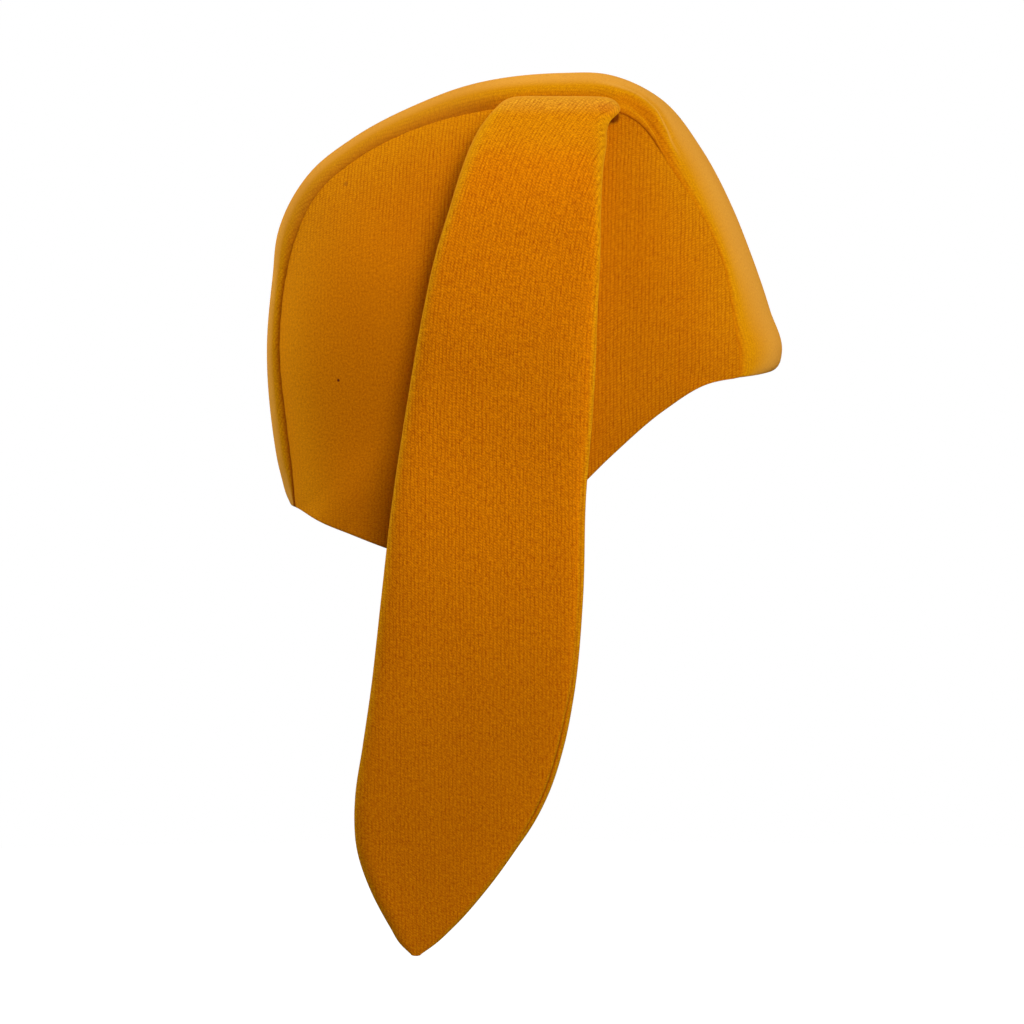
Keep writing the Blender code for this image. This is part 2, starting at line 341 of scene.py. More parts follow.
def band_frames(places, wall):
    """At places along the band: middle of its wall, outward direction, half width, rise, turn."""
    y, z, half_width, seam_y, seam_z = smooth_curve([s[1:] for s in BAND], places).T
    out = np.stack((y - seam_y, z - seam_z), axis=1)
    rise = np.linalg.norm(out, axis=1)
    out /= rise[:, None]
    radius = (half_width ** 2 + rise ** 2) / (2 * rise)
    turn = np.arcsin(half_width / radius)
    wall_radius = radius - wall / 2
    middle = np.stack((y, z), axis=1) - out * wall / 2
    return middle, out, wall_radius * np.sin(turn), wall_radius * (1 - np.cos(turn)), turn


def seam_line(places, wall):
    """Points of the left seam between band and side panel, at the middle of the wall."""
    middle, out, width, rise, _ = band_frames(places, wall)
    flat = middle - out * rise[:, None]
    return np.column_stack((width, flat))


def band_length():
    """Length of the band's outer middle line."""
    return table_length([s[1:] for s in BAND])


def add_object(name, data):
    """New object in the scene."""
    item = bpy.data.objects.new(name, data)
    bpy.context.scene.collection.objects.link(item)
    return item


def mesh_object(name, points, faces, wales, seam_shade, material):
    """Smooth object from points in millimetres, with the wales' coordinates as its UV map.

    The depth of each point in a seam's ditch, from 0 to 1, is also the share of painted shade that
    darkens its colour there.
    """
    mesh = bpy.data.meshes.new(name)
    mesh.from_pydata((points * MM).tolist(), [], faces)
    mesh.update()
    mesh.shade_smooth()
    layer = mesh.uv_layers.new(name="Wales")
    corners = np.empty(len(mesh.loops), dtype=np.int32)
    mesh.loops.foreach_get("vertex_index", corners)
    layer.data.foreach_set("uv", (wales[corners] * MM).astype(np.float32).ravel())
    depth = mesh.attributes.new("seam_shade", "FLOAT", "POINT")
    depth.data.foreach_set("value", seam_shade.astype(np.float32))
    mesh.materials.append(material)
    return add_object(name, mesh)


def surface_normals(points, faces):
    """Vertex normals of an open surface that point away from the head."""
    probe = bpy.data.meshes.new("probe")
    probe.from_pydata(points.tolist(), [], faces)
    probe.update()
    normals = np.empty(len(points) * 3, dtype=np.float32)
    probe.vertex_normals.foreach_get("vector", normals)
    bpy.data.meshes.remove(probe)
    normals = normals.reshape(-1, 3).astype(float)
    if np.sum((points - HEAD_CENTRE) * normals) < 0:
        return -normals, [face[::-1] for face in faces]
    return normals, faces


def walled(name, middle, faces, relief, half, wales, seam_shade, material):
    """Closed wall round a surface. half is half its thickness, and 0 along its edge."""
    normals, faces = surface_normals(middle, faces)
    middle = middle + normals * relief[:, None]
    normals, faces = surface_normals(middle, faces)
    edge = half <= 0
    count = len(middle)
    inner_index = np.where(edge, np.arange(count), count + np.cumsum(~edge) - 1)
    thick = normals * half[:, None]
    points = np.vstack((middle + thick, (middle - thick)[~edge]))
    inner_faces = [tuple(inner_index[k] for k in face[::-1]) for face in faces]
    return mesh_object(name, points, faces + inner_faces, np.vstack((wales, wales[~edge])),
                       np.concatenate((seam_shade, seam_shade[~edge])), material)


def grid_faces(rows, columns):
    """Faces of a grid of points that is stored row by row."""
    return [(r * columns + c, r * columns + c + 1, (r + 1) * columns + c + 1, (r + 1) * columns + c)
            for r in range(rows - 1) for c in range(columns - 1)]


def ring_faces(rings, count):
    """Faces of rings of points inside each other, closed by a fan round one more point."""
    faces = [(r * count + k, r * count + (k + 1) % count, (r + 1) * count + (k + 1) % count,
              (r + 1) * count + k) for r in range(rings - 1) for k in range(count)]
    last = (rings - 1) * count
    return faces + [(last + k, last + (k + 1) % count, rings * count) for k in range(count)]


class Wiring:
    """Adds nodes to a tree and joins them."""

    def __init__(self, tree):
        self.tree = tree

    def node(self, kind, inputs=None, **settings):
        item = self.tree.nodes.new(kind)
        for key, value in settings.items():
            setattr(item, key, value)
        for socket, value in (inputs or {}).items():
            self.feed(item.inputs[socket], value)
        return item

    def feed(self, socket, value):
        if isinstance(value, bpy.types.NodeSocket):
            self.tree.links.new(value, socket)
        else:
            socket.default_value = value

    def math(self, operation, *values, clamp=False):
        item = self.node("ShaderNodeMath", operation=operation, use_clamp=clamp)
        for socket, value in zip(item.inputs, values):
            self.feed(socket, value)
        return item.outputs[0]

    def mix(self, share, first, second, blend="MIX"):
        item = self.node("ShaderNodeMix", data_type="RGBA", blend_type=blend)
        for socket, value in ((0, share), (6, first), (7, second)):
            self.feed(item.inputs[socket], value)
        return item.outputs[2]

    def noise(self, vector, scale, detail=2.0, roughness=0.5):
        item = self.node("ShaderNodeTexNoise", {"Vector": vector, "Scale": scale,
                                                "Detail": detail, "Roughness": roughness})
        return item.outputs["Fac"]

    def ramp(self, value, low, high, start, end):
        """Soft step from start to end while the value goes from low to high."""
        item = self.node("ShaderNodeMapRange", {"Value": value, "From Min": low, "From Max": high,
                                                "To Min": start, "To Max": end},
                         interpolation_type="SMOOTHSTEP")
        return item.outputs[0]

    def vector(self, x, y, z):
        return self.node("ShaderNodeCombineXYZ", {"X": x, "Y": y, "Z": z}).outputs[0]


class Finish(Wiring):
    """A new material with the wiring of its tree."""

    def __init__(self, name):
        self.material = bpy.data.materials.new(name)
        self.material.use_nodes = True
        super().__init__(self.material.node_tree)

    def set(self, inputs):
        """Set or join the inputs of the main shader."""
        for socket, value in inputs.items():
            self.feed(self.tree.nodes["Principled BSDF"].inputs[socket], value)


# Painted sheen: as the cloth turns away from the eye its colour yellows and pales, and its knit
# hides, between two values of Facing, by the given shares
SlantSheen = namedtuple("SlantSheen", "turn_from turn_to turned pale_from pale_to pale knit_from knit_to")
BAND_SLANT_SHEEN = SlantSheen(-0.12, 0.36, 0.90, 0.36, 0.78, 0.85, 0.25, 0.60)
PANEL_SLANT_SHEEN = SlantSheen(0.15, 0.60, 0.45, 0.70, 1.00, 0.12, 0.50, 0.90)
EAR_SLANT_SHEEN = SlantSheen(0.10, 0.55, 0.90, 0.60, 1.00, 0.20, 0.42, 0.80)

# Noises of the jersey: how fine they are across and along the wales, offset, detail, roughness
Grain = namedtuple("Grain", "across along offset detail roughness")
WANDER = Grain(260.0, 90.0, 0.0, 2.0, 0.5)      # wales that wander
SLIP = Grain(700.0, 160.0, 2.0, 2.0, 0.5)       # rows that slip
SLUB = Grain(950.0, 400.0, 0.0, 2.0, 0.5)       # thick and thin yarn
BREAK = Grain(620.0, 150.0, 7.0, 2.0, 0.5)      # places where the wales close up
CLOUD = Grain(60.0, 45.0, 4.0, 4.0, 0.5)        # broad unevenness
FLUFF = Grain(1500.0, 1200.0, 1.0, 2.0, 0.7)    # loose fibres

# How strongly the grooves, the stitches, each wale's own tone, the clouds and the fluff tell
GROOVE_TONE, BEAD_TONE, WALE_TONE, CLOUD_TONE = 0.27, 0.34, 0.05, 0.14
FLUFF_TONE, KNIT_FLUFF_TONE = 0.45, 0.75        # everywhere, and added where the knit is plain
SLANT_KNIT = 0.12         # share of the knit that still shows at a slant
DARKEST, PALEST = (0.70, 0.45, 0.45, 1.0), (1.30, 1.55, 1.55, 1.0)
BLUE_SHARE = 0.08         # how much of the record's blue the cloth keeps
# Painted shade in the seams' ditches: the cloth's colour scaled by these shares, mixed in by up to
# this share
SEAM_SHADE_COLOUR, SEAM_SHADE_SHARE = (0.42, 0.15, 0.06), 0.95
# Knit worn off where the cloth is rubbed, and painted light that makes the cloth lighter there
RUBBED_KNIT, RUBBED_PAINTED_LIGHT = 0.88, 1.19           # knit worn off and tone gained where it is rubbed


def shaded(colour, shares):
    """Colour with its red, green and blue multiplied."""
    return (*(min(c * s, 1.0) for c, s in zip(colour, shares)), 1.0)


def grey(value):
    """Colour with one value for red, green and blue."""
    return (value, value, value, 1.0)


def jersey_material(name, colour, slant_sheen, tone_share, green_share=0.81, knit=1.0, slubs=0.5,
                    fluffs=1.0, top_sheen=None, brushed_and_lit=None, shaded_below=None, marks=()):
    """Fine-waled jersey with a soft nap, on a piece's Wales map.

    slant_sheen is painted sheen: it tells how the cloth's colour yellows and pales as it turns from
    the eye. tone_share lightens the cloth, by a share set for each piece to match how it is lit,
    which is painted light, and green_share yellows it. knit is the share of the knit's contrast,
    slubs that of its unevenness and fluffs that of its grain. top_sheen is a lower and an upper
    height, in millimetres, and the share of painted sheen that the cloth gets between.
    brushed_and_lit is a point and two distances from it between which a rubbed area fades into the
    plain knit, and is painted lighter. shaded_below is an upper and a lower height, and the shares
    by which the cloth gets darker, painted shade, and the knit softer between. marks are Marks:
    specks in the cloth and painted shadows.
    """
    settings = bpy.context.scene.baby_cap_jersey
    w = Finish(name)
    w.material.diffuse_color = colour
    parts = w.node("ShaderNodeSeparateXYZ",
                   {0: w.node("ShaderNodeUVMap", uv_map="Wales").outputs[0]})
    across, along = parts.outputs[0], parts.outputs[1]
    position = w.node("ShaderNodeTexCoord").outputs["Object"]
    height_here = w.node("ShaderNodeSeparateXYZ", {0: position}).outputs[2]
    facing = w.node("ShaderNodeLayerWeight", {"Blend": 0.5}).outputs["Facing"]

    def grain(noise):
        place = w.vector(w.math("MULTIPLY", across, noise.across),
                         w.math("MULTIPLY", along, noise.along), noise.offset)
        return w.noise(place, 1.0, noise.detail, noise.roughness)

    def distance(point, place=position):
        return w.node("ShaderNodeVectorMath", {0: place, 1: tuple(v * MM for v in point)},
                      operation="DISTANCE").outputs["Value"]

    def toned(tone, part, middle, strength):
        """Tone, lighter where a part is above its middle."""
        return w.math("MULTIPLY_ADD", w.math("SUBTRACT", part, middle), strength, tone)

    column = toned(w.math("DIVIDE", across, settings.wale), grain(WANDER), 0.5, 0.9)
    ridge = w.math("MULTIPLY", w.math("PINGPONG", column, 0.5), 2.0)
    groove = w.math("POWER", w.math("SUBTRACT", 1.0, ridge), 3.0)
    column_tone = w.node("ShaderNodeTexWhiteNoise", {"W": w.math("FLOOR", column)},
                         noise_dimensions="1D").outputs["Value"]
    row = w.math("MULTIPLY_ADD", w.math("FRACT", column), 0.9,
                 w.math("DIVIDE", along, settings.course))
    row = w.math("MULTIPLY_ADD", grain(SLIP), 1.6, row)
    row = w.math("MULTIPLY_ADD", column_tone, 3.0, row)
    stitch = w.math("MULTIPLY_ADD", w.math("SINE", w.math("MULTIPLY", row, math.tau)), 0.5, 0.5)
    bead = w.math("MULTIPLY", stitch, w.math("SUBTRACT", 1.0, groove))
    fluff = grain(FLUFF)

    plain = w.ramp(facing, slant_sheen.knit_from, slant_sheen.knit_to, 1.0, SLANT_KNIT)
    nap = w.math("MULTIPLY_ADD", plain, KNIT_FLUFF_TONE * fluffs, FLUFF_TONE * fluffs)
    plain = w.math("MULTIPLY", plain, knit)
    if shaded_below:
        top, bottom, darker, softer = shaded_below
        low = w.ramp(height_here, bottom * MM, top * MM, 1.0, 0.0)
        plain = w.math("MULTIPLY", plain, w.math("MULTIPLY_ADD", low, -softer, 1.0))
    if brushed_and_lit:
        point, near, far = brushed_and_lit
        rubbed_and_lit = w.ramp(distance(point), near * MM, far * MM, 1.0, 0.0)
        plain = w.math("MULTIPLY", plain, w.math("MULTIPLY_ADD", rubbed_and_lit, -RUBBED_KNIT, 1.0))
    broken = w.math("MULTIPLY", plain, w.ramp(grain(BREAK), 0.34, 0.62, 0.1, 1.0))
    tone = w.math("MULTIPLY_ADD", w.math("SUBTRACT", 0.25, groove),
                  w.math("MULTIPLY", broken, GROOVE_TONE), 0.5)
    tone = toned(tone, bead, 0.37, w.math("MULTIPLY", plain, BEAD_TONE))
    tone = toned(tone, column_tone, 0.5, w.math("MULTIPLY", plain, WALE_TONE))
    tone = toned(tone, grain(SLUB), 0.5, w.math("MULTIPLY", plain, slubs))
    tone = toned(tone, grain(CLOUD), 0.5, CLOUD_TONE)
    tone = toned(tone, fluff, 0.5, nap)
    tone = w.math("MAXIMUM", w.math("MINIMUM", tone, 1.0), 0.0)

    base = shaded(colour, (tone_share, tone_share * green_share, tone_share * BLUE_SHARE))
    # Painted sheen: the colour yellows, then pales, as the cloth turns away from the eye
    cloth = w.mix(w.ramp(facing, slant_sheen.turn_from, slant_sheen.turn_to, 0.0, slant_sheen.turned), base,
                  settings.slant_sheen_colour[:])
    cloth = w.mix(w.ramp(facing, slant_sheen.pale_from, slant_sheen.pale_to, 0.0, slant_sheen.pale), cloth,
                  settings.nap_colour[:])
    # Painted sheen: the ear's top roll paler between two heights
    if top_sheen:
        low_end, high_end, paler = top_sheen
        cloth = w.mix(w.ramp(height_here, low_end * MM, high_end * MM, 0.0, paler), cloth,
                      settings.nap_colour[:])
    cloth = w.mix(1.0, cloth, w.mix(tone, DARKEST, PALEST), "MULTIPLY")
    # Painted shade along the seams, read from the points' attribute
    deep = w.node("ShaderNodeAttribute", attribute_name="seam_shade").outputs["Fac"]
    cloth = w.mix(w.math("MULTIPLY", deep, SEAM_SHADE_SHARE, clamp=True), cloth,
                  shaded(colour, SEAM_SHADE_COLOUR))
    from_side = w.node("ShaderNodeVectorMath", {0: position, 1: (0.0, 1.0, 1.0)},
                       operation="MULTIPLY").outputs[0]
    for mark in marks:
        spot = w.ramp(distance(mark.point, from_side), mark.radius * 0.5 * MM, mark.radius * MM,
                      mark.strength, 0.0)
        cloth = w.mix(spot, cloth, mark.colour)
    # Painted light: the rubbed area lighter
    if brushed_and_lit:
        cloth = w.mix(rubbed_and_lit, cloth, w.mix(1.0, cloth, grey(RUBBED_PAINTED_LIGHT), "MULTIPLY"))
    # Painted shade: the cloth darker toward the bottom of the given heights
    if shaded_below:
        cloth = w.mix(low, cloth, w.mix(1.0, cloth, grey(1 - darker), "MULTIPLY"))

    height = w.math("MULTIPLY_ADD", bead, 0.4, w.math("MULTIPLY", groove, -0.5))
    height = w.math("MULTIPLY_ADD", height, broken, w.math("MULTIPLY", fluff, 0.8))
    bump = w.node("ShaderNodeBump", {"Height": height, "Distance": settings.relief,
                                     "Strength": 1.0})
    w.set({"Base Color": cloth, "Normal": bump.outputs[0],
           "Roughness": w.math("MULTIPLY_ADD", fluff, 0.12, 0.84), "Sheen Weight": 0.02,
           "Sheen Roughness": 0.35, "Sheen Tint": settings.nap_colour,
           "Specular IOR Level": 0.01})
    return w.material


def thread_material(colour):
    """Sewing thread, a little deeper than the cloth."""
    w = Finish("Seam thread")
    twist = w.noise(w.node("ShaderNodeTexCoord").outputs["Object"], 2600.0)
    dark, light = shaded(colour, (0.40,) * 3), shaded(colour, (0.75,) * 3)
    bump = w.node("ShaderNodeBump", {"Height": twist, "Distance": 0.05 * MM})
    w.set({"Base Color": w.mix(twist, dark, light), "Normal": bump.outputs[0],
           "Roughness": 0.7, "Sheen Weight": 0.2})
    return w.material


class BABYCAP_OT_crown_band(bpy.types.Operator):
    """Make the band that runs over the crown between the two side panels"""
    bl_idname = "baby_cap.crown_band"
    bl_label = "Crown band"

    def execute(self, context):
        cap = context.scene.baby_cap
        wall = cap.wall / MM
        length = band_length()
        places = edged(length, BAND_ROWS)
        middle, out, width, rise, turn = band_frames(places, wall)
        boxy = eased(BOXINESS, places)[0]
        roll, dark, line = eased(SEAM_ROLL, places)
        fold_place, fold_height = eased(FOLD, places)

        angle = np.linspace(-math.pi / 2, math.pi / 2, SECTION_STEPS)
        power = 2 / SQUARENESS
        reach = np.copysign(np.abs(np.sin(angle)) ** power, np.sin(angle))
        box_drop = 1 - np.abs(np.cos(angle)) ** power
        points, wales, half, relief, seam_shade = [], [], [], [], []
        for k, place in enumerate(places):
            arc_drop = 1 - np.sqrt(1 - (reach * np.sin(turn[k])) ** 2)
            arc_drop = arc_drop / (1 - math.cos(turn[k]))
            x = width[k] * reach
            drop = rise[k] * (boxy[k] * box_drop + (1 - boxy[k]) * arc_drop)
            run = np.concatenate(([0.0], np.cumsum(np.hypot(np.diff(x), np.diff(drop)))))
            steps = edged(run[-1] - cap.seam_gap / MM, BAND_COLUMNS) + cap.seam_gap / MM / 2
            x = np.interp(steps, run, x)
            drop = np.interp(steps, run, drop)
            points.append(np.column_stack((x, middle[k] - out[k] * drop[:, None])))
            past = place - WALES_TURN
            drift = WALES_DRIFT * (math.hypot(past, WALES_EASE) + past)
            wales.append(np.column_stack((steps - run[-1] / 2 - drift, np.full(len(steps), place))))
            from_seam = np.minimum(steps, run[-1] - steps)
            edge = from_seam - from_seam[0]
            to_hem = min(place, length - place)
            half.append(wall / 2 * rolled(edge, roll[k]) * rolled(to_hem, cap.hem_roll / MM))
            fold = sum(share * bump_at(from_seam - fold_place[k] * at, wide)
                       for at, wide, share in FOLD_WAVES)
            relief.append(fold_height[k] * fold
                          + cap.pucker / MM * ripple(place) * np.exp(-from_seam / PUCKER_REACH)
                          + UNEVEN_BAND * math.sin(place * 0.061 + 1.0) * np.cos(x / 21.0))
            # painted shade along the seam's ditch
            seam_shade.append(dark[k] * bump_at(edge, line[k]))
        # The band's mark is painted shade on its back top
        jersey = jersey_material("Band jersey", context.scene.baby_cap_jersey.colour[:],
                                 # painted light: the band's tone_share is set to match how it is
                                 # lit
                                 BAND_SLANT_SHEEN, tone_share=1.05, knit=0.55, marks=(BAND_BACK_SHADE,))
        piece = walled("crown_band_jersey", np.vstack(points),
                       grid_faces(len(places), len(points[0])), np.concatenate(relief),
                       np.concatenate(half), np.vstack(wales), np.concatenate(seam_shade), jersey)
        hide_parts("crown_band")
        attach(piece, "root")
        return {"FINISHED"}


def panel_edge(cap):
    """Left panel's edge, along the seam and back along the hem.

    Gives its points, their rolls, the darkness and width of the painted shade in the ditch, and
    their places on the seam, or -1 on the hem.
    """
    wall = cap.wall / MM
    length = band_length()
    along = np.linspace(0.5, length, PANEL_SEAM)
    seam = seam_line(along, wall)
    corners = [(p[1], p[2], p[0]) for p in (seam[0], *[h[1:] for h in HEM], seam[-1])]
    run = table_length(corners)
    hem = smooth_curve(corners, np.linspace(0.0, run, PANEL_HEM))[1:-1][::-1]
    edge = np.vstack((seam, hem[:, (2, 0, 1)]))
    roll, dark, line = eased(SEAM_ROLL, along)
    roll = np.concatenate((roll, np.full(len(hem), cap.hem_roll / MM)))
    dark = np.concatenate((dark, np.zeros(len(hem))))
    line = np.concatenate((line, np.ones(len(hem))))
    sewn = np.concatenate((along, np.full(len(hem), -1.0)))
    return edge, roll, dark, line, sewn


class BABYCAP_OT_side_panels(bpy.types.Operator):
    """Make the two side panels, from the crown seams to their hems"""
    bl_idname = "baby_cap.side_panels"
    bl_label = "Side panels"

    def execute(self, context):
        cap = context.scene.baby_cap
        wall = cap.wall / MM
        bulge = cap.bulge / MM
        gap = cap.seam_gap / MM
        centre = HEAD_CENTRE[1:]
        edge, roll, dark, line, sewn = panel_edge(cap)
        count = len(edge)
        away = edge[:, 1:] - centre
        length = np.linalg.norm(away, axis=1)
        fall = np.sqrt(1 - (edge[:, 0] / bulge) ** 2)
        slant = np.hypot(length, bulge * fall ** 2 / np.sqrt(1 - fall ** 2))
        near = np.arange(-60, 61)
        weight = bump_at(near, SOFTENING)
        steep = fall / length
        soft = sum(m * np.roll(steep, k) for k, m in zip(near, weight)) / weight.sum()
        from_edge = [d / slant for d in ROLL]
        inner = [from_edge[-1] + (1 - from_edge[-1]) * t
                 for t in np.linspace(0, 1, PANEL_RINGS + 1)[1:-1]]
        points, wales, half, relief, seam_shade = [], [], [], [], []
        for inset in from_edge + inner:
            share = 1 - gap / 2 / slant - inset * (1 - gap / 2 / slant)
            slope = soft + (steep - soft) * share ** 6
            x = bulge * np.sqrt(1 - (slope * length * share) ** 2)
            flat = centre + away * share[:, None]
            y, z = flat.T
            distance = inset * slant
            points.append(np.column_stack((x, flat)))
            down = WALES_RADIUS * np.arcsin((z - centre[1]) / WALES_RADIUS)
            wales.append(np.column_stack((y, down)))
            half.append(wall / 2 * rolled(distance, roll))
            rise = sum(s.height * np.exp(-((y - s.y) / s.reach_y) ** 2
                                         - ((z - s.z) / s.reach_z) ** 2) for s in SWELLS)
            rise = rise * (1 - np.exp(-distance / SWELLS_FROM_EDGE))
            puckered = cap.pucker / MM * ripple(sewn) * np.exp(-distance / PUCKER_REACH)
            relief.append(rise + np.where(sewn >= 0, puckered, 0.0))
            # painted shade along the seam's ditch
            seam_shade.append(dark * bump_at(distance, line))
        faces = ring_faces(len(points), count)
        points = np.vstack((*points, (bulge, *centre)))
        wales = np.vstack((*wales, (centre[0], 0.0)))
        half = np.append(np.concatenate(half), wall / 2)
        relief = np.append(np.concatenate(relief), relief[-1].mean())
        seam_shade = np.append(np.concatenate(seam_shade), 0.0)
        colour = context.scene.baby_cap_jersey.colour[:]
        # Both panels get the painted shadow by the ear's front corner; the right one also the
        # cloth's specks
        for side, sign, marks in (("left", 1, (TUCK_SHADOW,)), ("right", -1, (TUCK_SHADOW, *SPECKS))):
            jersey = jersey_material("Jersey of the %s side" % side, colour, PANEL_SLANT_SHEEN,
                                     # painted light: the panels' tone_share is set to match how
                                     # they are lit
                                     tone_share=0.94, marks=marks,
                                     # a rubbed area, also painted lighter
                                     brushed_and_lit=(RUBBED_LIT_PLACE * (sign, 1, 1), *RUBBED_LIT_REACH))
            piece = walled("side_panel_%s_jersey" % side, points * (sign, 1, 1), faces, relief,
                           half, wales, seam_shade, jersey)
            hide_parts("side_panel_" + side)
            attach(piece, "root")
        return {"FINISHED"}


def ear_faces(rings, count, half_count):
    """Faces of closed rings with a fan at the last, and strips across the first ring."""
    faces = ring_faces(rings, count)
    faces.append((1, 0, count - 1))
    for k in range(1, half_count - 2):
        faces.append((k + 1, k, count - k, count - k - 1))
    faces.append((half_count - 1, half_count - 2, half_count))
    return faces


def ear_sway(place, across):
    """Slow waves of an ear out of its own plane, none of them at its sewn top."""
    sway = (0.5 * math.sin(place * 0.031 + 0.5) * np.sin(across * 2.2 + place * 0.012)
            + 0.25 * np.sin(place * 0.083 + across * 1.7))
    return sway * (1 - np.exp(-place / 30.0))


class BABYCAP_OT_ears(bpy.types.Operator):
    """Make the two long ears that hang from the crown seams"""
    bl_idname = "baby_cap.ears"
    bl_label = "Ears"

    def execute(self, context):
        ears = context.scene.baby_cap_ears
        rows = [s[1:] for s in EAR]
        length = table_length(rows)
        ends = len(TIP_ROUND)
        places = np.concatenate((np.linspace(0.0, length, EAR_ROWS), np.full(ends, length)))
        shrink = np.concatenate((np.ones(EAR_ROWS), [math.sqrt(1 - q * q) for q in TIP_ROUND]))
        beyond = np.concatenate((np.zeros(EAR_ROWS), [TIP_LENGTH * q for q in TIP_ROUND]))
        table = smooth_curve(rows, places)
        path = np.gradient(table[:EAR_ROWS, :2], axis=0)
        path /= np.linalg.norm(path, axis=1)[:, None]
        path = np.vstack((path, np.repeat(path[-1:], ends, axis=0)))
        settings = context.scene.baby_cap_jersey
        for side, sign, lean in (("left", 1, ears.far_lean / MM), ("right", -1, 0.0)):
            points, wales, seam_shade = [], [], []
            for k, (x, z, back, front, thickness, bow) in enumerate(table):
                along_x, along_z = path[k]
                x, z = x + along_x * beyond[k], z + along_z * beyond[k]
                down = min(max((LEAN_TOP - z) / (LEAN_TOP - LEAN_BOTTOM), 0.0), 1.0)
                shift = lean * down * down * (3 - 2 * down)
                middle = (back + front) / 2
                width = (back - front) * shrink[k]
                tight = min(1.0, width / FULL_ROLL)
                steps = edged(width, EAR_COLUMNS, np.array(EAR_FRONT) * tight,
                              np.array(EAR_BACK) * tight)
                across = 2 * steps / width - 1
                proud = (rolled(steps, ears.front_roll / MM * tight)
                         * rolled(width - steps, ears.back_roll / MM * tight))
                proud = proud * thickness * shrink[k] / 2
                plainly, share = eased(EAR_SEAM, np.array((-z,)))[:, 0]
                inset = ears.seam_inset / MM * tight * share
                fade = tight * plainly
                line = ears.seam_depth / MM * fade * bump_at(steps - inset, SEAM_LINE)
                step = SEAM_STEP * fade * (1 - bump_at((steps - inset).clip(0), SEAM_EASE))
                sway = ear_sway(places[k], across) * tight
                inward = np.array((x, max(z - HEAD_CENTRE[2], 0.0)))
                inward = -inward / np.linalg.norm(inward)
                bend = bow * across ** 6
                y = middle + shift + (steps - width / 2)
                u = (y - shift
                     + WALES_LEAN * max(0.0, 1 - places[k] / LEAN_LENGTH) ** LEAN_POWER
                     + WALES_CROWD * math.exp(-places[k] / CROWD_LENGTH) * ((1 - across) / 2) ** 2)
                # Painted shade in the line of the front seam
                dark = 0.9 * (fade * bump_at(steps - inset, SEAM_DARK))
                bare = np.zeros(len(dark))
                for height, deep, order in ((proud - line + step + sway, dark, slice(None)),
                                            (sway - proud, bare, slice(-2, 0, -1))):
                    px = x - along_z * height + inward[0] * bend
                    pz = z + along_x * height + inward[1] * bend
                    points.append(np.column_stack((px, y, pz))[order])
                    wales.append(np.column_stack((u, np.full(len(u), places[k])))[order])
                    seam_shade.append(deep[order])
            half_count = len(points[0])
            faces = ear_faces(len(table), half_count + len(points[1]), half_count)
            points = np.vstack((*points, points[-2].mean(axis=0))) * (sign, 1, 1)
            wales = np.vstack((*wales, wales[-2].mean(axis=0)))
            seam_shade = np.append(np.concatenate(seam_shade), 0.0)
            if sign < 0:
                faces = [face[::-1] for face in faces]
            jersey = jersey_material("Jersey of the %s ear" % side, settings.ear_colour[:],
                                     # painted light: the ears' tone_share is set to match how they
                                     # are lit
                                     EAR_SLANT_SHEEN, tone_share=1.30, green_share=0.86, knit=0.9,
                                     # painted sheen on the ear's top roll
                                     slubs=0.85, fluffs=1.35, top_sheen=(-12.5, -7.0, 0.28),
                                     # painted shade: the ears darker toward their tips
                                     shaded_below=(-125.0, -235.0, 0.22, 0.35))
            piece = mesh_object("ear_%s_jersey" % side, points, faces, wales, seam_shade, jersey)
            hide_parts("ear_" + side)
            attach(piece, "root")
        return {"FINISHED"}


SEWN_FROM_HEM = 3.0       # from each hem to the sewing thread
SEWN_STEPS = 400
THREAD_OUT = 0.25         # how far the thread lies outside the middle of the wall


def stitch_tree(material):
    """Geometry nodes that lay spindle-shaped stitches along a path."""
    tree = bpy.data.node_groups.new("Seam stitches", "GeometryNodeTree")
    face = tree.interface
    face.new_socket("Geometry", in_out="INPUT", socket_type="NodeSocketGeometry")
    for name in ("Spacing", "Length", "Thread"):
        face.new_socket(name, in_out="INPUT", socket_type="NodeSocketFloat")
    face.new_socket("Geometry", in_out="OUTPUT", socket_type="NodeSocketGeometry")
    w = Wiring(tree)
    given = w.node("NodeGroupInput").outputs
    path = w.node("GeometryNodeMeshToCurve", {"Mesh": given["Geometry"]})
    spaced = w.node("GeometryNodeResampleCurve",
                    {"Curve": path.outputs[0], "Length": given["Spacing"]}, mode="LENGTH")
    stitch = w.node("GeometryNodeMeshUVSphere", {"Segments": 8, "Rings": 6, "Radius": 0.5})
    size = w.vector(given["Thread"], given["Thread"], given["Length"])
    shaped = w.node("GeometryNodeTransform", {"Geometry": stitch.outputs[0], "Scale": size})
    turn = w.node("FunctionNodeAlignRotationToVector",
                  {"Vector": w.node("GeometryNodeInputTangent").outputs[0]}, axis="Z")
    placed = w.node("GeometryNodeInstanceOnPoints",
                    {"Points": spaced.outputs[0], "Instance": shaped.outputs[0],
                     "Rotation": turn.outputs[0]})
    whole = w.node("GeometryNodeRealizeInstances", {"Geometry": placed.outputs[0]})
    smooth = w.node("GeometryNodeSetShadeSmooth", {"Geometry": whole.outputs[0]})
    done = w.node("GeometryNodeSetMaterial",
                  {"Geometry": smooth.outputs[0], "Material": material})
    w.node("NodeGroupOutput", {"Geometry": done.outputs[0]})
    return tree


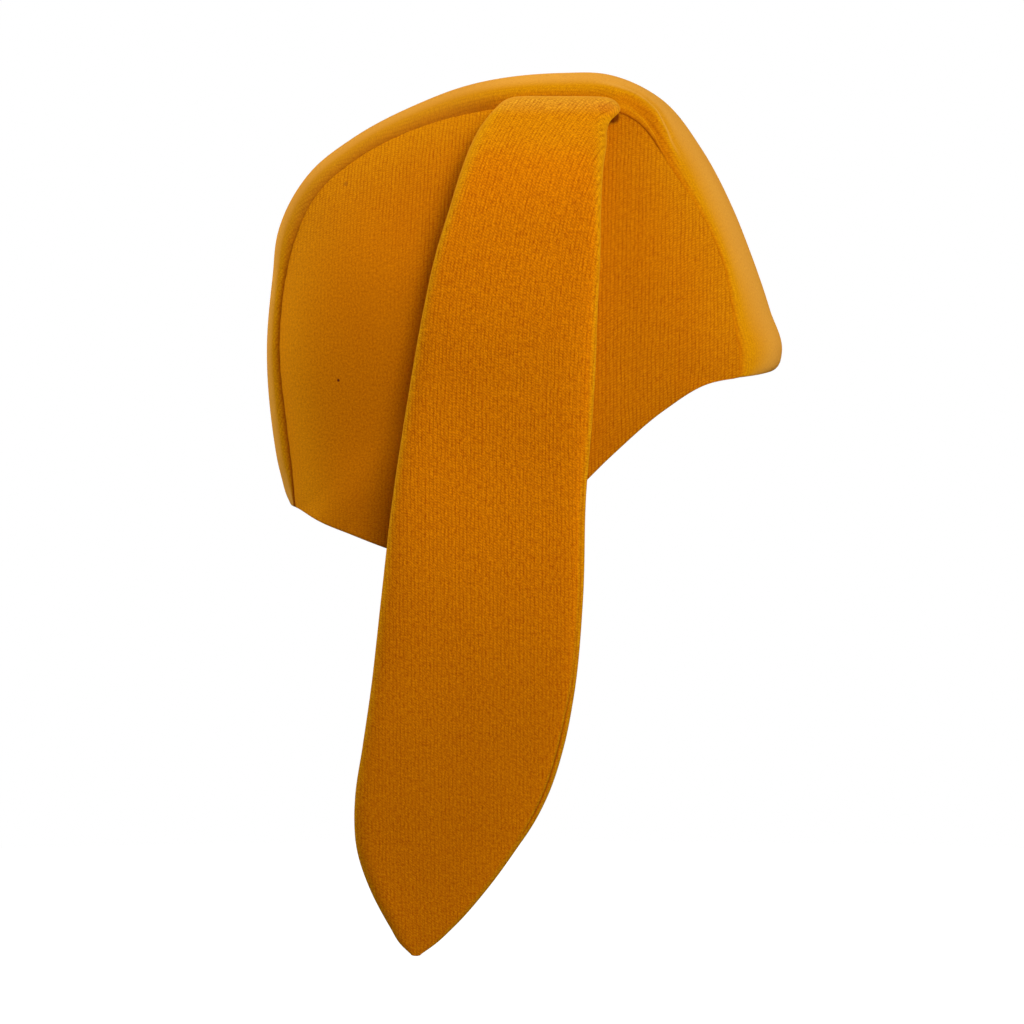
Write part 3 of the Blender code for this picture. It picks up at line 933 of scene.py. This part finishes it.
class BABYCAP_OT_seam_stitches(bpy.types.Operator):
    """Lay the sewing thread in the two crown seams"""
    bl_idname = "baby_cap.seam_stitches"
    bl_label = "Seam stitches"

    def execute(self, context):
        cap = context.scene.baby_cap
        sewing = context.scene.baby_cap_stitches
        along = np.linspace(SEWN_FROM_HEM, band_length() - SEWN_FROM_HEM, SEWN_STEPS)
        seam = seam_line(along, cap.wall / MM)
        outward = seam - HEAD_CENTRE
        outward /= np.linalg.norm(outward, axis=1)[:, None]
        seam = seam + outward * THREAD_OUT
        tree = stitch_tree(thread_material(context.scene.baby_cap_jersey.colour[:]))
        for side, sign in (("left", 1), ("right", -1)):
            name = "seam_thread_" + side
            mesh = bpy.data.meshes.new(name + "_path")
            mesh.from_pydata((seam * (sign, 1, 1) * MM).tolist(),
                             [(k, k + 1) for k in range(len(seam) - 1)], [])
            path = add_object(name + "_path", mesh)
            nodes = path.modifiers.new("Stitches", "NODES")
            nodes.node_group = tree
            for item in tree.interface.items_tree:
                if item.in_out == "INPUT" and item.name in ("Spacing", "Length", "Thread"):
                    nodes[item.identifier] = getattr(sewing, item.name.lower())
            context.view_layer.update()
            made = bpy.data.meshes.new_from_object(
                path.evaluated_get(context.evaluated_depsgraph_get()))
            if not made.polygons:
                raise RuntimeError("the seam has no stitches")
            made.name = name
            bpy.data.objects.remove(path, do_unlink=True)
            piece = add_object(name, made)
            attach(piece, "root")
        return {"FINISHED"}


# Soft square lamps of the studio, in metres, and their shares of their group's power
Lamp = namedtuple("Lamp", "name group place share")
LAMPS = (
    Lamp("High key", "key", (-0.9, -0.9, 0.9), 0.76),
    Lamp("Far front light", "key", (0.7, -1.4, 0.4), 0.24),
    Lamp("High back light", "back", (0.0, 1.2, 1.0), 0.73),
    Lamp("Far back light", "back", (0.8, 1.3, 0.3), 0.27),
    Lamp("Low fill", "fill", (-1.3, -0.3, -0.8), 1.0),
)
LAMP_SIZE = 0.8
LIT_POINT = Vector((0.0, 0.016, -0.12))
VIEWED_POINT = Vector((-0.013758, 0.016500, -0.143716))     # what the middle of the picture shows
FLOOR_RADIUS, FLOOR_CORNERS, FLOOR_GLOW = 6.0, 96, 1.1


def area_light(lamp, power):
    """Square soft light that faces the cap."""
    data = bpy.data.lights.new(lamp.name, "AREA")
    data.shape = "SQUARE"
    data.size = LAMP_SIZE
    data.energy = power
    light = add_object(lamp.name, data)
    light.location = lamp.place
    light.rotation_euler = (Vector(lamp.place) - LIT_POINT).to_track_quat("Z", "Y").to_euler()


class BABYCAP_OT_studio(bpy.types.Operator):
    """Set up the camera, the soft lights and the pale floor"""
    bl_idname = "baby_cap.studio"
    bl_label = "Studio"

    def execute(self, context):
        scene = context.scene
        studio = scene.baby_cap_studio
        data = bpy.data.cameras.new("Camera")
        data.lens = studio.lens
        data.sensor_width = 36.0
        data.clip_end = 50.0
        camera = add_object("Camera", data)
        back = Vector((-math.cos(studio.turn) * math.cos(studio.tilt),
                       -math.sin(studio.turn) * math.cos(studio.tilt), math.sin(studio.tilt)))
        right = Vector((math.sin(studio.turn), -math.cos(studio.turn), 0.0))
        up = back.cross(right)
        turn = Matrix((right, up, back)).transposed().to_4x4()
        camera.matrix_world = Matrix.Translation(VIEWED_POINT + back * studio.distance) @ turn
        scene.camera = camera
        for lamp in LAMPS:
            area_light(lamp, getattr(studio, lamp.group) * lamp.share)

        world = bpy.data.worlds.new("White ground")
        world.use_nodes = True
        scene.world = world
        w = Wiring(world.node_tree)
        ground = world.node_tree.nodes["Background"].inputs
        w.feed(ground["Color"], grey(1.0))
        w.feed(ground["Strength"], w.node("ShaderNodeLightPath").outputs["Is Camera Ray"])

        rim = []
        for k in range(FLOOR_CORNERS):
            angle = math.tau * k / FLOOR_CORNERS
            rim.append((FLOOR_RADIUS * math.cos(angle), FLOOR_RADIUS * math.sin(angle),
                        studio.floor_drop))
        mesh = bpy.data.meshes.new("Floor")
        mesh.from_pydata(rim, [], [tuple(range(FLOOR_CORNERS))])
        floor = add_object("Floor", mesh)
        paper = Finish("White paper")
        paper.set({"Base Color": grey(0.9), "Roughness": 0.9, "Specular IOR Level": 0.0,
                   "Emission Color": grey(1.0), "Emission Strength": FLOOR_GLOW})
        mesh.materials.append(paper.material)
        floor.visible_diffuse = False
        floor.visible_glossy = False
        scene.view_settings.view_transform = "Standard"
        return {"FINISHED"}


class BABYCAP_PT_panel(bpy.types.Panel):
    """Settings and steps of the baby cap"""
    bl_idname = "BABYCAP_PT_panel"
    bl_label = "Baby cap"
    bl_space_type = "VIEW_3D"
    bl_region_type = "UI"
    bl_category = "Baby cap"

    def draw(self, context):
        for title, group, _ in GROUPS:
            box = self.layout.box()
            box.label(text=title)
            settings = getattr(context.scene, group)
            for name in type(settings).__annotations__:
                box.prop(settings, name)
        for operator in STEPS:
            self.layout.operator(operator.bl_idname)


STEPS = (BABYCAP_OT_studio, BABYCAP_OT_crown_band, BABYCAP_OT_side_panels, BABYCAP_OT_ears,
         BABYCAP_OT_seam_stitches)
GROUPS = (("Jersey", "baby_cap_jersey", JerseySettings), ("Panels", "baby_cap", CapSettings),
          ("Ears", "baby_cap_ears", EarSettings),
          ("Stitches", "baby_cap_stitches", StitchSettings),
          ("Studio", "baby_cap_studio", StudioSettings))


def register():
    for _, name, group in GROUPS:
        bpy.utils.register_class(group)
        setattr(bpy.types.Scene, name, PointerProperty(type=group))
    for item in (*STEPS, BABYCAP_PT_panel):
        bpy.utils.register_class(item)


def unregister():
    for item in (BABYCAP_PT_panel, *reversed(STEPS)):
        bpy.utils.unregister_class(item)
    for _, name, group in reversed(GROUPS):
        delattr(bpy.types.Scene, name)
        bpy.utils.unregister_class(group)


def main():
    register()
    bpy.ops.baby_cap.studio()
    bpy.ops.baby_cap.crown_band()
    bpy.ops.baby_cap.side_panels()
    bpy.ops.baby_cap.ears()
    bpy.ops.baby_cap.seam_stitches()


if __name__ == "__main__":
    main()
